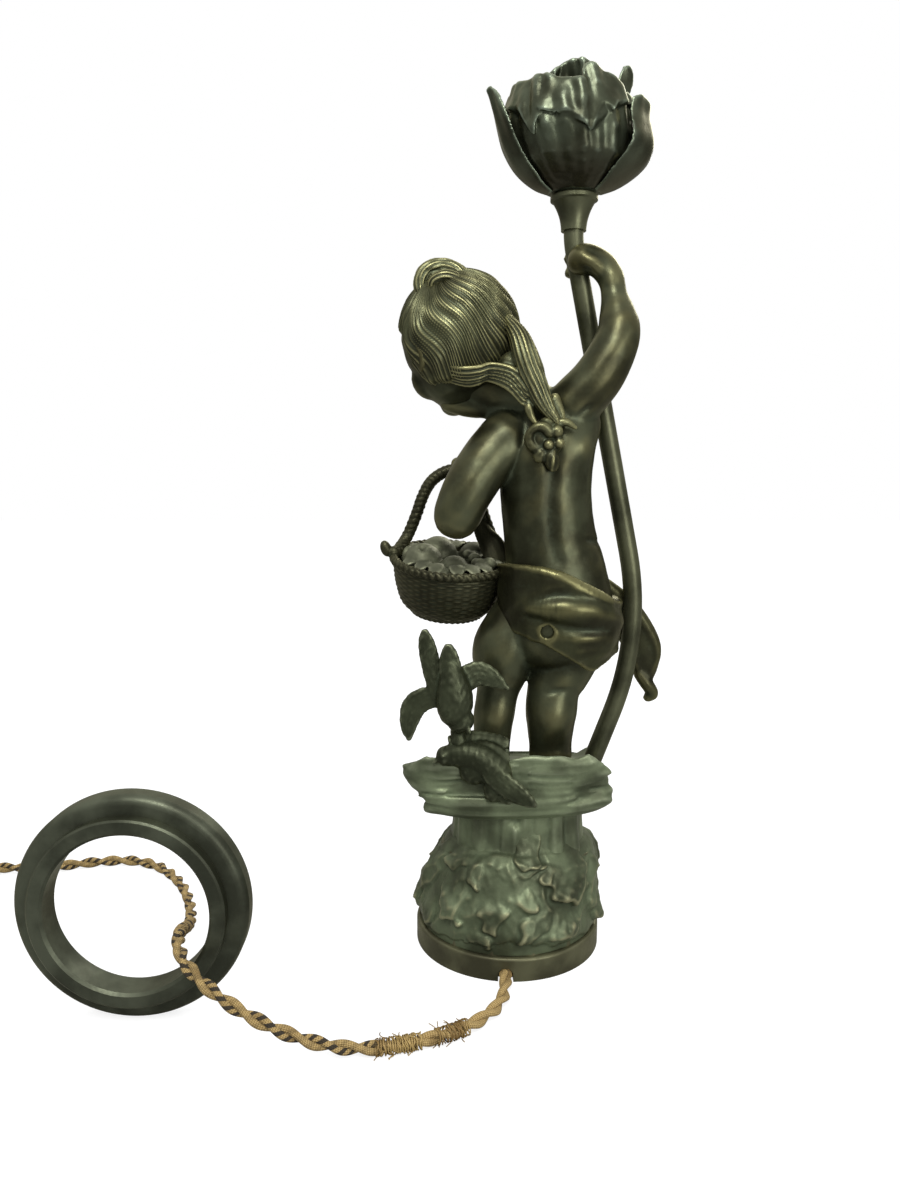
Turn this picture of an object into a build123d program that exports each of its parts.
from build123d import *
import math
import os

os.makedirs("parts", exist_ok=True)

# Sizes in mm. X is to the right, Y away from the viewer and Z up.
# The origin is the centre of the plinth's foot.
plinth_r = 57.0
plinth_h = 14.0
base_wall = 4.5
mound_h = 48.0
stump_h = 34.0
log_t = 24.0
stem_d = 11.5
stem_wall = 1.2
cord_d = 7.5
flower_rise = 330.0
petal_t = 1.4
holder_bore = 22.8
ring_h = 19.5
ring_flare = 5.4
fit = 0.4

mound_z = plinth_h + mound_h
log_z = mound_z + stump_h
deck = log_z + log_t
flower_x = 36.0
stem_y = 10.0
flower_z = deck + flower_rise
cavity_r = plinth_r - base_wall
stump_x = 6.0


def save(name, *shapes):
    solids = [solid for shape in shapes for solid in shape.solids()]
    whole = solids[0] if len(solids) == 1 else Compound(children=solids)
    export_step(whole, f"parts/{name}.step")
    print(name, len(solids), round(sum(solid.volume for solid in solids)), "mm3")


def ovals(*stations):
    """A loft through level ovals, each x, y, height over the deck, half width, half depth."""
    return loft([Pos(x, y, deck + z) * Ellipse(a, b) for x, y, z, a, b in stations])


def limb(*stations, across=(0, 1, 0)):
    """A round limb with blunt ends through x, y, height over the deck and radius."""
    points = [Vector(x, y, deck + z) for x, y, z, r in stations]
    radii = [r for x, y, z, r in stations]
    rows = []
    for i, point in enumerate(points):
        ahead = points[min(i + 1, len(points) - 1)] - points[max(i - 1, 0)]
        rows.append((point, ahead.normalized(), radii[i]))
    first, way, r = rows[0]
    start = [(first - way * 0.9 * r, way, 0.4 * r), (first - way * 0.62 * r, way, 0.78 * r)]
    last, way, r = rows[-1]
    end = [(last + way * 0.62 * r, way, 0.78 * r), (last + way * 0.9 * r, way, 0.4 * r)]
    sections = []
    for point, way, r in start + rows + end:
        plane = Plane(origin=point, x_dir=way.cross(Vector(*across)), z_dir=way)
        sections.append(plane * Circle(r))
    return loft(sections)


def egg(x, y, z, a, b, c):
    return Pos(x, y, deck + z) * scale(Sphere(1), by=(a, b, c))


def half_space(point, normal, size=260):
    """A large block whose face lies at point and that fills the side normal points to."""
    plane = Plane(origin=point, z_dir=normal)
    return plane * Pos(0, 0, size / 2) * Box(size, size, size)


def jagged(z, cx, rx, ry, depth, corners, turn):
    """A level outline with corners moved in and out, for rock and bark."""
    points = []
    for i in range(corners):
        angle = 2 * math.pi * i / corners
        k = 1 - depth * (0.5 + 0.5 * math.sin(2.4 * i + turn))
        points.append((cx + rx * k * math.cos(angle), ry * k * math.sin(angle)))
    return Pos(0, 0, z) * make_face(Polyline(*points, close=True))


# Base: a hollow plinth and mound, open below, with a notch for the cord.
plinth = fillet(Cylinder(plinth_r, plinth_h, align=(Align.CENTER, Align.CENTER, Align.MIN))
                .edges().group_by(Axis.Z)[-1], 2)
mound_rows = [
    (0.0, 0.0, plinth_r - 2.5, plinth_r - 2.5, 0.0, 0.0),
    (0.20, 0.5, plinth_r - 2.5, plinth_r - 2.5, 0.05, 1.0),
    (0.48, 2.0, plinth_r - 5.5, plinth_r - 5.5, 0.06, 2.6),
    (0.76, 4.5, plinth_r - 7.0, plinth_r - 9.0, 0.06, 4.1),
    (1.0, stump_x, plinth_r - 9.5, plinth_r - 13.0, 0.03, 0.4),
]
mound = loft([jagged(plinth_h + mound_h * u, cx, rx, ry, depth, 14, turn)
              for u, cx, rx, ry, depth, turn in mound_rows], ruled=True)
lip_z = mound_z - 6
cavity_face = make_face(Polyline((0, -1), (cavity_r, -1), (cavity_r, plinth_h - 3),
                                 (cavity_r - 16, lip_z), (0, lip_z), close=True))
cavity = revolve(Plane.XZ * cavity_face, Axis.Z)
throat = Pos(stump_x, 0, mound_z - 10) * Cylinder(26, 30)
notch_r = cord_d / 2 + 0.6
notch_x = -4.0
notch = Pos(notch_x, -plinth_r, 0) * (
    Pos(0, 0, cord_d / 2) * Rot(90, 0, 0) * Cylinder(notch_r, 24)
    + Pos(0, 0, cord_d / 4 - 1) * Box(2 * notch_r, 24, cord_d / 2 + 2))
base_shell = plinth + mound - cavity - throat - notch

# Stump, log and branch.
bark = [(0.0, 42.5, 36.0, 0.6), (0.35, 40.5, 34.0, 0.9), (0.7, 40.0, 33.5, 0.7), (1.0, 42.0, 35.0, 0.6)]
stump = loft([jagged(mound_z + stump_h * u, stump_x, rx, ry, 0.07, 18, turn)
              for u, rx, ry, turn in bark], ruled=True)
stump -= Pos(stump_x, 0, mound_z + stump_h / 2) * extrude(Ellipse(33, 25), stump_h, both=True)

log_rows = [(-62, 0.62, -5), (-54, 0.9, -1.5), (-44, 1.0, 0), (8, 1.0, 0), (46, 1.0, 0), (57, 0.72, -4)]
log_shape = [(-24, 0), (24, 0), (32, -0.22), (34, -0.6), (25, -1), (-25, -1), (-35, -0.62), (-33, -0.2)]


def log_section(x, k, drop):
    points = []
    for y, z in log_shape:
        points.append((y * k, deck + drop + z * log_t * (1 if k == 1 else k)))
    face = make_face(Polyline(*points, close=True))
    return Plane(origin=(x, 0, 0), x_dir=(0, 1, 0), z_dir=(1, 0, 0)) * face


log_upper = loft([log_section(*row) for row in log_rows], ruled=True)

# Stem: a bent tube in one upright plane, set in a socket in the log.
stem_slope = 0.371
stem_foot = (53.2, deck - 11)
stem_points = [(flower_x, flower_z - 8), (flower_x, flower_z - 26), (83.6, deck + 70.8), stem_foot]
stem_path = FilletPolyline(*[(x, stem_y, z) for x, z in stem_points], radius=[60, 185])
stem_solid = sweep(Plane(origin=stem_path @ 0, z_dir=stem_path % 0) * Circle(stem_d / 2), path=stem_path)
stem_bore = sweep(Plane(origin=stem_path @ 0, z_dir=stem_path % 0) * Circle(stem_d / 2 - stem_wall),
                  path=stem_path)
stem_tube = stem_solid - stem_bore

pocket = Pos(44, stem_y, deck - 17.0) * Box(32, 14, 12.8)
well = Pos(30, stem_y, log_z + 4) * Box(18, 14, 14)
rod_x, rod_y, rod_r = stump_x - 12, 0.0, 4.0
rod_top = deck - 9
rod_hole = Pos(rod_x, rod_y, log_z) * Cylinder(rod_r, 2 * (rod_top - log_z))
log_upper = log_upper - stem_solid - pocket - well - rod_hole
grub_z = deck - 6
grub_x = stem_foot[0] + (grub_z - stem_foot[1]) * stem_slope
grub_way = Pos(grub_x, stem_y, grub_z) * Rot(90, 0, 0)
grub_hole = grub_way * Pos(0, 0, -stem_d / 2 - 10) * Cylinder(2, 20)
grub_screw = grub_way * Pos(0, 0, -stem_d / 2 - 5) * Cylinder(2, 10)
grub_screw = grub_screw - stem_solid
grub_slot = grub_way * Pos(0, 0, -stem_d / 2 - 9.6) * Box(0.8, 5, 1.2)
log_upper = log_upper - grub_hole
grub_screw -= grub_slot

branch_z = log_z - deck - 1.5
branch = limb((-50, -30, branch_z, 4.6), (-20, -33, branch_z - 1, 5.6), (14, -33, branch_z, 6.0),
              (40, -31, branch_z, 5.6), (54, -28, branch_z, 4.2), across=(0, 0, 1))
log_branch = branch - stump - log_upper

# Tie rod that holds log and stump on the base, with a bridge bar under the mound's lip.
bar_t = 5.0
bridge_bar = Pos(stump_x - 6, 0, lip_z - bar_t / 2) * Box(2 * (cavity_r - 18), 13, bar_t)
bridge_bar -= Pos(rod_x, rod_y, lip_z) * Cylinder(rod_r + 0.3, 40)
tie_rod = Pos(rod_x, rod_y, (rod_top + lip_z - 16) / 2) * Cylinder(rod_r, rod_top - lip_z + 16)
tie_washer = Pos(rod_x, rod_y, lip_z - bar_t - 0.75) * (Cylinder(8, 1.5) - Cylinder(rod_r + 0.2, 4))
tie_nut = Pos(rod_x, rod_y, lip_z - bar_t - 1.5 - 6.5) * extrude(RegularPolygon(7.5, 6), 6.5)
tie_nut -= tie_rod

# Figure: trunk, legs, feet and neck in one casting.
torso = ovals((27, -4, 56, 29, 24), (28.5, -5, 75, 33, 28), (29, -5, 95, 32.5, 28),
              (26.5, -4, 118, 29.5, 26), (22.5, -3, 140, 27.3, 25), (20.5, -3, 160, 27, 24.5),
              (21.5, -3, 182, 27.5, 23), (24, -2, 200, 28.5, 19.5), (24, -1, 211, 22, 15), (23, 0, 217, 12, 9))
leg_left = ovals((11, -4, 82, 18, 18), (5, -6, 64, 18.5, 18.5), (-2, -8, 48, 17, 17),
                 (-6, -10, 36, 15.5, 15.5), (-9, -10, 22, 13.8, 13.8), (-11, -10, 10, 12, 12),
                 (-11, -9, 0, 12.4, 12.4))
leg_right = ovals((43, -4, 82, 18, 18), (38, -5, 66, 18.5, 18.5), (30, -7, 50, 17.5, 17.5),
                  (26.5, -8, 38, 16, 16), (25, -9, 24, 14.5, 14.5), (25, -9, 10, 13, 13),
                  (25, -9, 0, 14, 14))
feet = egg(-12, 8, 4, 9, 19, 9) + egg(26, 8, 4, 9.5, 19, 9)
feet -= half_space((0, 0, deck), (0, 0, -1))
neck = limb((22, -2, 203, 13), (10, 0, 215, 12.6), (-4, 2, 226, 12.6))
screw_hole = Pos(19.4, -30, deck + 80.4) * Rot(90, 0, 0) * Cylinder(3.2, 26)
figure_body = torso + leg_left + leg_right + feet + neck - screw_hole

# Head, hair and rosette.
head_x, head_y, head_z = -29.0, 5.0, 249.0
face_way = Vector(-0.62, 0.70, -0.35).normalized()
head_r = 36.0
hair_t = 2.4
head_at = Pos(head_x, head_y, deck + head_z)
skull = head_at * Rot(0, 0, -90) * Sphere(head_r)
jaw = head_at * Pos(-9, 14, -14) * Rot(0, 0, 215) * Sphere(25)
nose = head_at * Pos(-24, 33, -13) * Sphere(5)
figure_head = skull + jaw + nose - figure_body
hair_line = Vector(head_x, head_y, deck + head_z) + face_way * 9
hair_cap = head_at * Sphere(head_r + hair_t) - half_space(hair_line, face_way)
bun = head_at * Pos(-14, -11, 32) * (Sphere(12.5) + Rot(62, 14, 0) * Torus(11.5, 4.6))
lock = limb((0, -26, 240, 9), (8, -27, 222, 9.5), (15, -27.5, 206, 8), (19, -27, 194, 4.5))
figure_hair = hair_cap + bun - skull - jaw
figure_hair = figure_hair + (lock - skull) - figure_body
figure_hair = figure_hair.solids().sort_by(SortBy.VOLUME)[-1]
rosette = Pos(19, -26, deck + 190) * Sphere(7)
for i in range(5):
    angle = 2 * math.pi * i / 5 + 0.3
    rosette += Pos(19 + 7.5 * math.cos(angle), -25.5, deck + 190 + 7.5 * math.sin(angle)) * Sphere(5)
back_rosette = rosette - figure_body - figure_hair

# Arms: the right one holds the stem and the left one the basket's handle.
arm_right = limb((34, -6, 208, 15.5), (50, -9, 226, 14.5), (60, -8, 247, 13), (58, -4, 268, 11.5),
                 (50, 0, 284, 9.5), (42, 2, 293, 8.5))
arm_right = arm_right + egg(39, 6, 296, 10.5, 10, 9) - figure_body - stem_solid
handle_y = 22.0
grip_z = 176.0
upper_left = limb((-4, -8, 191, 15.5), (-16, -14, 176, 15.5), (-26, -17, 160, 15), (-32, -17, 146, 14))
fore_left = limb((-32, -13, 145, 12.8), (-33, 1, 149, 11.6), (-32, 12, 160, 10),
                 (-31, handle_y - 2, grip_z - 4, 8.5), across=(1, 0, 0))
arm_left = upper_left + fore_left
arm_left = arm_left - figure_body

# Drapery round the hips, and its hanging end behind the stem.
wrap = ovals((27.5, -4, 46, 34, 30), (28.5, -5, 75, 37.5, 32.5), (29, -5, 95, 37, 32.5),
             (27, -4, 118, 34, 30.5), (25, -4, 130, 32, 29.5))
wrap -= half_space((30, -5, deck + 104), (0.33, 0.10, 0.94))
wrap -= half_space((30, -5, deck + 71), (-0.40, -0.22, -0.9))
drapery = wrap - figure_body - screw_hole
drapery = drapery.solids().sort_by(SortBy.VOLUME)[-1]
tail = ovals((56, 16, 100, 12, 6.5), (72, 23, 84, 10, 5.2), (84, 24, 64, 10, 5),
             (90, 23, 44, 7.5, 4.4), (88, 22, 31, 4, 3.2))
drapery_tail = tail - figure_body - drapery - stem_solid
drapery_tail = drapery_tail.solids().sort_by(SortBy.VOLUME)[-1]

# Basket with its rope handle and fruit.
basket_at = Pos(-38, 20, deck + 83.7) * Rot(12, 4, 0)
bowl_face = make_face(Polyline((0, 0), (19, 0)) + Spline((19, 0), (29, 8), (33.5, 20), (35, 33))
                      + Polyline((35, 33), (36.5, 33), (36.5, 36), (32.5, 36), (32.5, 33))
                      + Spline((32.5, 33), (31, 20.5), (27, 10), (18.5, 3)) + Polyline((18.5, 3), (0, 3), (0, 0)))
bowl = basket_at * revolve(Plane.XZ * bowl_face, Axis.Z)
basket_bowl = bowl - figure_body - drapery
fruit_rows = [(-17, -8, 33, 13), (3, -12, 33, 12), (-8, 12, 33, 13), (15, 10, 33, 11), (19, -5, 33.5, 8),
              (25, 4, 34, 6), (-27, 4, 34, 6), (23, -13, 34, 5), (12, -20, 34.5, 6)]
heap = Pos(0, 0, 25) * scale(Sphere(1), by=(31.4, 31.4, 11))
for x, y, z, r in fruit_rows:
    heap += Pos(x, y, z) * Sphere(r)
basket_fruit = basket_at * heap - bowl - figure_body - drapery
basket_fruit = basket_fruit.solids().sort_by(SortBy.VOLUME)[-1]
left_root = (basket_at * Pos(-34.5, 0, 36)).position
right_root = (basket_at * Pos(34.5, 0, 36)).position
handle_points = [left_root, Vector(left_root.X + 6, handle_y, deck + 142), Vector(-30, handle_y, deck + grip_z),
                 Vector(right_root.X - 7, handle_y, deck + 146), right_root]
handle_path = FilletPolyline(*handle_points, radius=[30, 16, 24])
rope = sweep(Plane(origin=handle_path @ 0, z_dir=handle_path % 0) * Circle(2.6), path=handle_path)
basket_handle = rope - basket_bowl - figure_body - drapery
basket_handle = basket_handle.solids().sort_by(SortBy.VOLUME)[-1]
arm_left = arm_left - rope
basket_fruit -= rope

# Birds on the log.
perched = limb((-38, -33, 6, 5.5), (-28, -34, 8, 9.5), (-12, -36, 6, 11), (2, -38, -3, 8.5), (13, -41, -14, 3.5))
bird_perched = perched - log_upper - log_branch - stump - figure_body
bird_perched = bird_perched.solids().sort_by(SortBy.VOLUME)[-1]


def wing(y, t, *outline):
    face = make_face(Spline(*outline, periodic=True))
    return Pos(0, y, deck) * extrude(Plane.XZ * face, t / 2, both=True)


flying = limb((-31, -36, 20, 8.5), (-33, -37, 40, 12.5), (-35, -38, 56, 8), (-35.5, -39, 70, 3.5))
flying += wing(-33, 5, (-34, 58), (-48, 81), (-53, 74), (-62, 48), (-64, 17), (-54, 26), (-42, 34))
flying += wing(-34, 5, (-34, 54), (-14, 56), (0, 46), (-12, 39), (-30, 28))
bird_flying = flying - bird_perched - log_upper - figure_body

# Flower: calyx, cup, petals and the lampholder, in a frame on the stem's axis.
flower_at = Pos(flower_x, stem_y, flower_z)
stem_r = stem_d / 2
calyx_face = make_face(
    Polyline((stem_r, -20), (stem_r + 1.6, -20)) + Spline((stem_r + 1.6, -20), (8.6, -12), (12.4, -4))
    + Polyline((12.4, -4), (13.8, -3.2), (13.8, -1.2), (12.8, -0.3), (5, -0.3), (5, -5))
    + Polyline((5, -5), (stem_r, -8), (stem_r, -20)))
calyx = flower_at * revolve(Plane.XZ * calyx_face, Axis.Z)
cup_face = make_face(Polyline((5.4, 0), (12.6, 0), (20, 5), (27, 11.5), (25.6, 12.8), (19, 7), (12, 3), (5.4, 3), close=True))
cup = revolve(Plane.XZ * cup_face, Axis.Z)
flower_cup = flower_at * cup


def petal(az, half, *line):
    """A shell petal: line, as radius and height, is given petal_t of thickness and turned 2 * half degrees."""
    outer, inner = [], []
    for i, (r, z) in enumerate(line):
        dr = line[min(i + 1, len(line) - 1)][0] - line[max(i - 1, 0)][0]
        dz = line[min(i + 1, len(line) - 1)][1] - line[max(i - 1, 0)][1]
        n = math.hypot(dr, dz)
        outer.append((r + 0.5 * petal_t * dz / n, z - 0.5 * petal_t * dr / n))
        inner.append((r - 0.5 * petal_t * dz / n, z + 0.5 * petal_t * dr / n))
    face = make_face(Spline(*outer) + Line(outer[-1], inner[-1]) + Spline(*inner[::-1]) + Line(inner[0], outer[0]))
    shell = revolve(Plane.XZ * face, Axis.Z, 2 * half)
    return Rot(0, 0, az - half) * shell


def pointed(shell, az, low, high, width, r_min):
    """Cut a turned-back lip to a V that points down: only what lies outside r_min is cut."""
    keep = make_face(Polyline((0, low), (width, high), (width, high + 40), (-width, high + 40), (-width, high), close=True))
    keep = extrude(Plane.YZ * keep, 90)
    ring = Pos(0, 0, (low + high) / 2) * (Cylinder(80, high - low + 8) - Cylinder(r_min, high - low + 8))
    return shell - (ring - Rot(0, 0, az) * keep)


front_line = [(13, 0.9), (22, 6.2), (31, 15), (35, 27), (34.4, 40), (31.5, 52), (31, 58.5), (33.2, 62.2),
              (36, 60), (37.6, 52), (38.4, 42)]
back_line = [(13, 0.9), (22, 6.2), (31, 15), (35, 27), (34.8, 40), (32, 54), (27, 68), (20, 77)]
left_line = [(14.4, 0.4), (24, 4.6), (34, 13.4), (40, 25), (42.5, 36), (47, 46), (52, 50)]
right_line = [(14.4, 0.4), (24, 4.6), (35, 13.4), (42.5, 22), (43.6, 30), (41.6, 38), (42, 42)]


def bowl_petal(az):
    return pointed(petal(az, 29.6, *front_line), az, 40, 56, 19, 35.9) - cup


petals_front = flower_at * Compound(children=[bowl_petal(az).solid() for az in (-60, -120)])
petals_side = flower_at * Compound(children=[bowl_petal(az).solid() for az in (0, 180)])
back_pair = []
for az in (60, 120):
    tip = make_face(Polyline((-40, -5), (40, -5), (40, 40), (5, 82), (-5, 82), (-40, 40), close=True))
    tip = Rot(0, 0, az) * extrude(Plane.YZ * tip, 90)
    back_pair.append(((petal(az, 29.6, *back_line) & tip) - cup).solid())
petals_back = flower_at * Compound(children=back_pair)


def open_petal(az, half, *line):
    leaf = make_face(Spline((-7, -2), (-15, 12), (-14, 30), (0, 56), (14, 30), (15, 12), (7, -2)) + Line((7, -2), (-7, -2)))
    leaf = Rot(0, 0, az) * extrude(Plane.YZ * leaf, 90)
    return ((petal(az, half, *line) & leaf) - cup).solid()


inside = Compound(children=petals_side.solids() + petals_front.solids() + petals_back.solids())
petal_left = flower_at * open_petal(180, 40, *left_line)
petal_right = flower_at * open_petal(0, 40, *right_line)
for shape in inside.solids():
    petal_left -= shape
    petal_right -= shape
petal_left = petal_left.solids().sort_by(SortBy.VOLUME)[-1]
petal_right = petal_right.solids().sort_by(SortBy.VOLUME)[-1]

bore_r = holder_bore / 2
nipple = flower_at * (Pos(0, 0, 2.2) * Cylinder(5, 20.4) - Pos(0, 0, 2.2) * Cylinder(3.9, 30))
nipple -= stem_solid
shade_nut = flower_at * Pos(0, 0, 3.3) * (extrude(RegularPolygon(9, 6), 3) - Cylinder(5, 20))
cap_face = make_face(Polyline((5, 6.4), (bore_r + 1.2, 6.4), (bore_r + 2.4, 8), (bore_r + 2.4, 17), (bore_r + 1, 17),
                              (bore_r + 1, 10.4), (5, 10.4), close=True))
holder_cap = flower_at * revolve(Plane.XZ * cap_face, Axis.Z)
plunger_x, plunger_r = 5.6, 2.2
insulator = Pos(0, 0, 16.2) * Cylinder(bore_r + 1, 7.2) - Pos(0, 0, 8) * Cylinder(5, 12)
for side in (-1, 1):
    insulator -= Pos(side * plunger_x, 0, 16.9) * Cylinder(plunger_r + 0.3, 6)
holder_insulator = flower_at * (insulator - Pos(0, 0, 18.9) * (Cylinder(bore_r + 3, 1.8) - Cylinder(bore_r - 0.3, 4)))
shell = Pos(0, 0, 26.5) * (Cylinder(bore_r + 1, 17) - Cylinder(bore_r, 30))
guide_z = 25.4
shell -= Pos(0, 0, guide_z - 4) * Cylinder(bore_r + 0.3, 8)
for side in (-1, 1):
    shell -= Pos(0, side * bore_r, 32) * Box(2.4, 6, 14)
    shell -= Pos(side * 2.4, side * bore_r, 26.2) * Box(7, 6, 2.4)
holder_shell = flower_at * shell
spring_h = 2.4
plungers = []
for side in (-1, 1):
    body = Pos(side * plunger_x, 0, 13.9 + spring_h) * Cylinder(plunger_r, 8.6, align=(Align.CENTER, Align.CENTER, Align.MIN))
    plungers.append(flower_at * fillet(body.edges().group_by(Axis.Z)[-1], 0.8))

# Inner cord: up the stem from the notch, ending under the nipple, with two wires on to the terminals.
inner_points = [(flower_x, stem_y, flower_z - 12)]
inner_points += [(x, stem_y, z) for x, z in stem_points[1:3]]
floor_z = cord_d / 2 + 0.1
inner_points += [(stem_foot[0] - 6.4 * stem_slope, stem_y, stem_foot[1] - 6.4), (30, stem_y, deck - 18.6),
                 (21, 14, mound_z + 5), (15, 14, 38), (notch_x, -32, floor_z), (notch_x, -plinth_r + 1, floor_z)]
inner_path = FilletPolyline(*inner_points, radius=[60, 185, 5.5, 6, 25, 20, 14])
inner_cord = sweep(Plane(origin=inner_path @ 0, z_dir=inner_path % 0) * Circle(cord_d / 2), path=inner_path)

ring_r = plinth_r + ring_flare
spigot_r = cavity_r - fit
ring_face = make_face(
    Polyline((46, 0), (ring_r, 0), (ring_r, 8)) + Spline((ring_r, 8), (ring_r - 1.4, 10.8), (plinth_r + 0.8, 12.4))
    + Polyline((plinth_r + 0.8, 12.4), (spigot_r, 12.8), (spigot_r, ring_h - 1), (spigot_r - 1, ring_h),
               (45, ring_h), (43.5, ring_h - 1.5), (43.5, 3), (46, 0)))
ring_at = Pos(-205, -81, ring_r) * Rot(90, 0, 0)
foot_ring = ring_at * revolve(Plane.XZ * ring_face, Axis.Z)

# Cord: from the notch along the floor, over the ring's lower edge and on to a put-away coil.
cord_points = [
    (notch_x, -plinth_r + 1, floor_z), (-4.5, -75, floor_z), (-14, -94, floor_z), (-33, -110, floor_z),
    (-56, -119.5, floor_z), (-80, -124, floor_z), (-102, -127, 8.5), (-125, -128, 18), (-148, -125, 30),
    (-169, -113, 40), (-181, -92, 41), (-187, -69, 37), (-192, -46, 27), (-197, -22, 15),
    (-202, 2, 6.5), (-209, 27, floor_z), (-220, 52, floor_z), (-235, 74, floor_z), (-253, 92, floor_z),
    (-276, 101, floor_z), (-302, 96, floor_z), (-328, 88, floor_z), (-356, 85, 4.6)]
coil_x, coil_y, coil_r = -422.0, 34.0, 50.0
coil_pitch = cord_d + 0.7
layer_turns = 2.0
tie_t = 1.2
coil_z = floor_z + tie_t
coil_start = (coil_x, coil_y + coil_r, coil_z)
cord_points += [(-386, coil_y + coil_r, coil_z), coil_start]


def round_path(points):
    """Straight runs and arcs, each arc as large as its two runs allow; prints the radii."""
    at = [Vector(*point) for point in points]
    radii = []
    for before, here, after in zip(at, at[1:], at[2:]):
        turn = math.radians((here - before).get_angle(after - here))
        shorter = min((here - before).length, (after - here).length)
        radii.append(0.45 * shorter / math.tan(turn / 2))
    print("cord radii", [round(r) for r in radii])
    return FilletPolyline(*points, radius=radii)


def arc_between(start, way, end):
    """The arc from start, leaving along way, to end."""
    chord = end - start
    u = chord.normalized()
    off = way - u * way.dot(u)
    if off.length < 1e-6:
        return Line(start, end)
    angle = math.radians(way.get_angle(chord))
    middle = start + chord * 0.5 + off.normalized() * (chord.length / 2 * math.tan(angle / 2))
    return ThreePointArc(start, middle, end)


def biarc(start, way_in, end, way_out):
    """Two arcs that leave start along way_in and reach end along way_out."""
    v = end - start
    t = way_in + way_out
    k = 2 * (1 - way_in.dot(way_out))
    d = (-v.dot(t) + math.sqrt(v.dot(t) ** 2 + k * v.dot(v))) / k
    joint = (start + end + (way_in - way_out) * d) * 0.5
    first = arc_between(start, way_in, joint)
    second = arc_between(end, way_out * -1, joint)
    return [first, second]


def coil_point(turns):
    """The coil's centreline: in for layer_turns, up in half a turn, and out again."""
    angle = math.pi / 2 + 2 * math.pi * turns
    inward = min(turns, 2 * layer_turns + 0.5 - turns)
    r = coil_r - coil_pitch * inward
    climb = min(max((turns - layer_turns) / 0.5, 0), 1)
    z = coil_z + coil_pitch * (0.5 - 0.5 * math.cos(math.pi * climb))
    return Vector(coil_x + r * math.cos(angle), coil_y + r * math.sin(angle), z)


def coil_way(turns):
    return (coil_point(turns + 1e-4) - coil_point(turns - 1e-4)).normalized()


coil_turns = 2 * layer_turns + 0.5
spans = round(coil_turns * 4)
coil_edges = []
for i in range(spans):
    u0, u1 = coil_turns * i / spans, coil_turns * (i + 1) / spans
    way_in = Vector(-1, 0, 0) if i == 0 else coil_way(u0)
    way_out = Vector(1, 0, 0) if i == spans - 1 else coil_way(u1)
    coil_edges += biarc(coil_point(u0), way_in, coil_point(u1), way_out)
coil_end = coil_point(coil_turns)
lead_in = Vector(*coil_start) + Vector(cord_d, 0, 0)
tail_out = coil_end + Vector(28, 0, 0)
cord_points[-1] = tuple(lead_in)
coil_path = Wire([Line(lead_in, Vector(*coil_start)).edge()] + [edge.edge() for edge in coil_edges]
                 + [Line(coil_end, tail_out).edge()])
cord_coil = sweep(Plane(origin=lead_in, z_dir=(-1, 0, 0)) * Circle(cord_d / 2), path=coil_path)
marks = [coil_path @ (i / 480) for i in range(481)]
gap = min((marks[i] - marks[j]).length for i in range(481) for j in range(i + 20, 481)) - cord_d
print("coil gap", round(gap, 2), "length", round(coil_path.length), "volume ratio",
      round(cord_coil.volume / (math.pi * cord_d ** 2 / 4 * coil_path.length), 4))

cord_path = round_path(cord_points)
cord_run = sweep(Plane(origin=cord_path @ 0, z_dir=cord_path % 0) * Circle(cord_d / 2), path=cord_path)
print("cord run", round(cord_path.length), "volume ratio",
      round(cord_run.volume / (math.pi * cord_d ** 2 / 4 * cord_path.length), 4))
bindings = []
for x in (-40.0, -62.0):
    arcs = cord_path.edges().filter_by(GeomType.CIRCLE)
    edge = min(arcs, key=lambda arc: abs((arc @ 0.5).X - x)).trim(0.2, 0.8)
    sleeve = sweep(Plane(origin=edge @ 0, z_dir=edge % 0) * Circle(cord_d / 2 + 0.8), path=edge)
    core = sweep(Plane(origin=edge @ 0, z_dir=edge % 0) * Circle(cord_d / 2 + 0.1), path=edge)
    bindings.append(sleeve - core)
    bindings[-1] -= half_space((x, -110, 0.1), (0, 0, -1))

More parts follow.
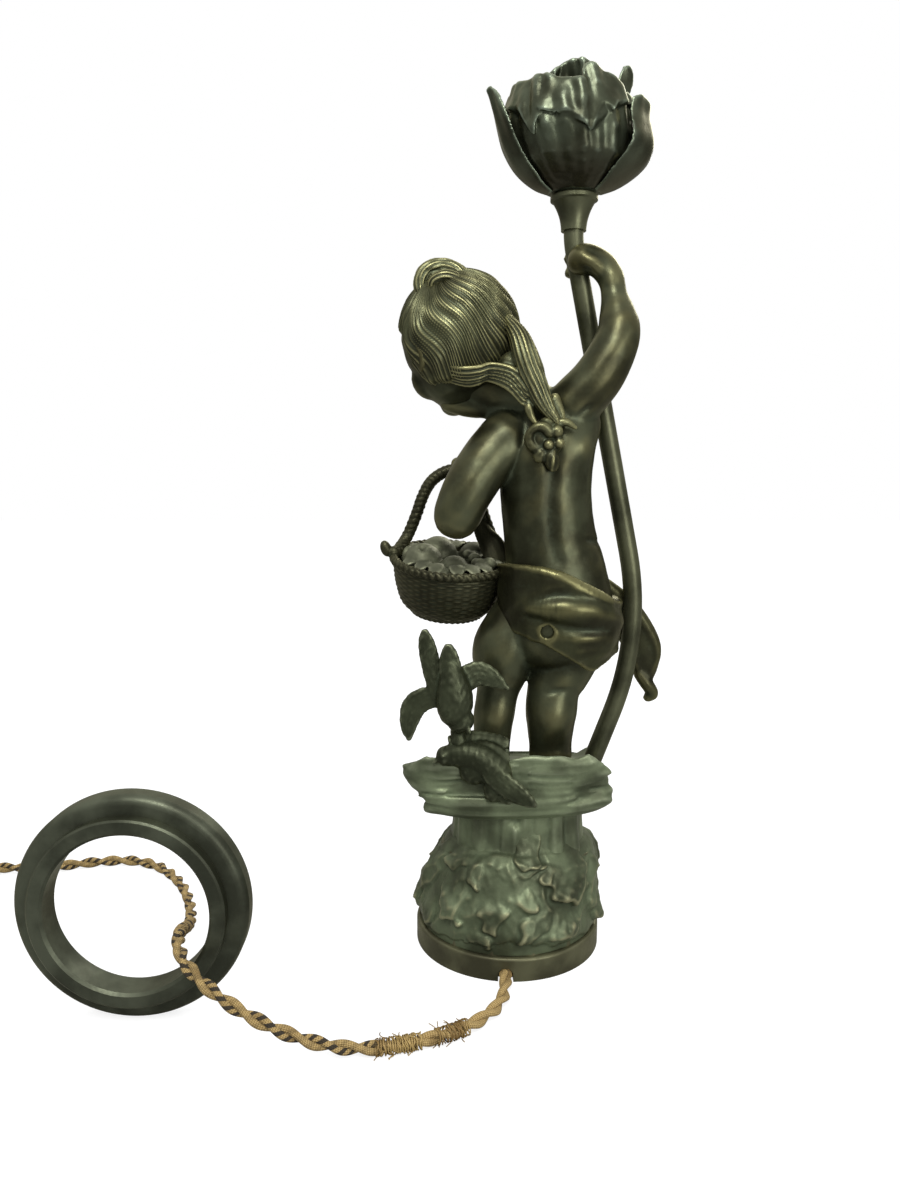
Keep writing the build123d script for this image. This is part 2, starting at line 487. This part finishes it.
tie_x = coil_x + coil_r - coil_pitch * (0.75 + (layer_turns - 1) / 2)
tie_w = coil_pitch * (layer_turns - 1) + cord_d + 0.8
tie_h = coil_pitch + cord_d + 0.4
tie_in = Box(tie_w, 12, tie_h)
tie_out = Box(tie_w + 2 * tie_t, 9, tie_h + 2 * tie_t)
coil_tie = Pos(tie_x, coil_y, coil_z + coil_pitch / 2) * (tie_out - tie_in)

plug_face = make_face(Polyline((0, 0), (6, 0), (7.5, 3), (7.5, 9), (11.5, 15), (11.5, 34), (0, 34), close=True))
plug_at = Pos(tail_out.X, tail_out.Y, tail_out.Z) * Rot(0, 90, 0)
plug_body = plug_at * revolve(Plane.XZ * plug_face, Axis.Z)
pin = fillet((Pos(0, 0, 34 + 9.5) * Cylinder(2.3, 19)).edges().group_by(Axis.Z)[-1], 1)
plug_pins = [plug_at * Pos(0, side * 6.5, 0) * pin for side in (-1, 1)]

wires = []
for side in (-1, 1):
    wires.append(flower_at * Pos(side * 1.7, 0, 0.3) * Cylinder(1.1, 24.6))

save("base_shell", base_shell)
save("stump", stump)
save("log_upper", log_upper)
save("log_branch", log_branch)
save("bridge_bar", bridge_bar)
save("tie_rod", tie_rod)
save("tie_washer", tie_washer)
save("tie_nut", tie_nut)
save("grub_screw", grub_screw)
save("figure_body", figure_body)
save("figure_head", figure_head)
save("figure_hair", figure_hair)
save("back_rosette", back_rosette)
save("arm_right", arm_right)
save("arm_left", arm_left)
save("drapery", drapery)
save("drapery_tail", drapery_tail)
save("basket_bowl", basket_bowl)
save("basket_fruit", basket_fruit)
save("basket_handle", basket_handle)
save("bird_perched", bird_perched)
save("bird_flying", bird_flying)
save("stem_tube", stem_tube)
save("calyx", calyx)
save("flower_cup", flower_cup)
save("petals_front", petals_front)
save("petals_side", petals_side)
save("petals_back", petals_back)
save("petal_left", petal_left)
save("petal_right", petal_right)
save("nipple", nipple)
save("shade_nut", shade_nut)
save("holder_cap", holder_cap)
save("holder_insulator", holder_insulator)
save("holder_shell", holder_shell)
save("plunger_left", plungers[0])
save("plunger_right", plungers[1])
save("terminal_wires", *wires)
save("inner_cord", inner_cord)
save("foot_ring", foot_ring)
save("cord_run", cord_run)
save("cord_bindings", *bindings)
save("cord_coil", cord_coil)
save("coil_tie", coil_tie)
save("plug_body", plug_body)
save("plug_pins", *plug_pins)
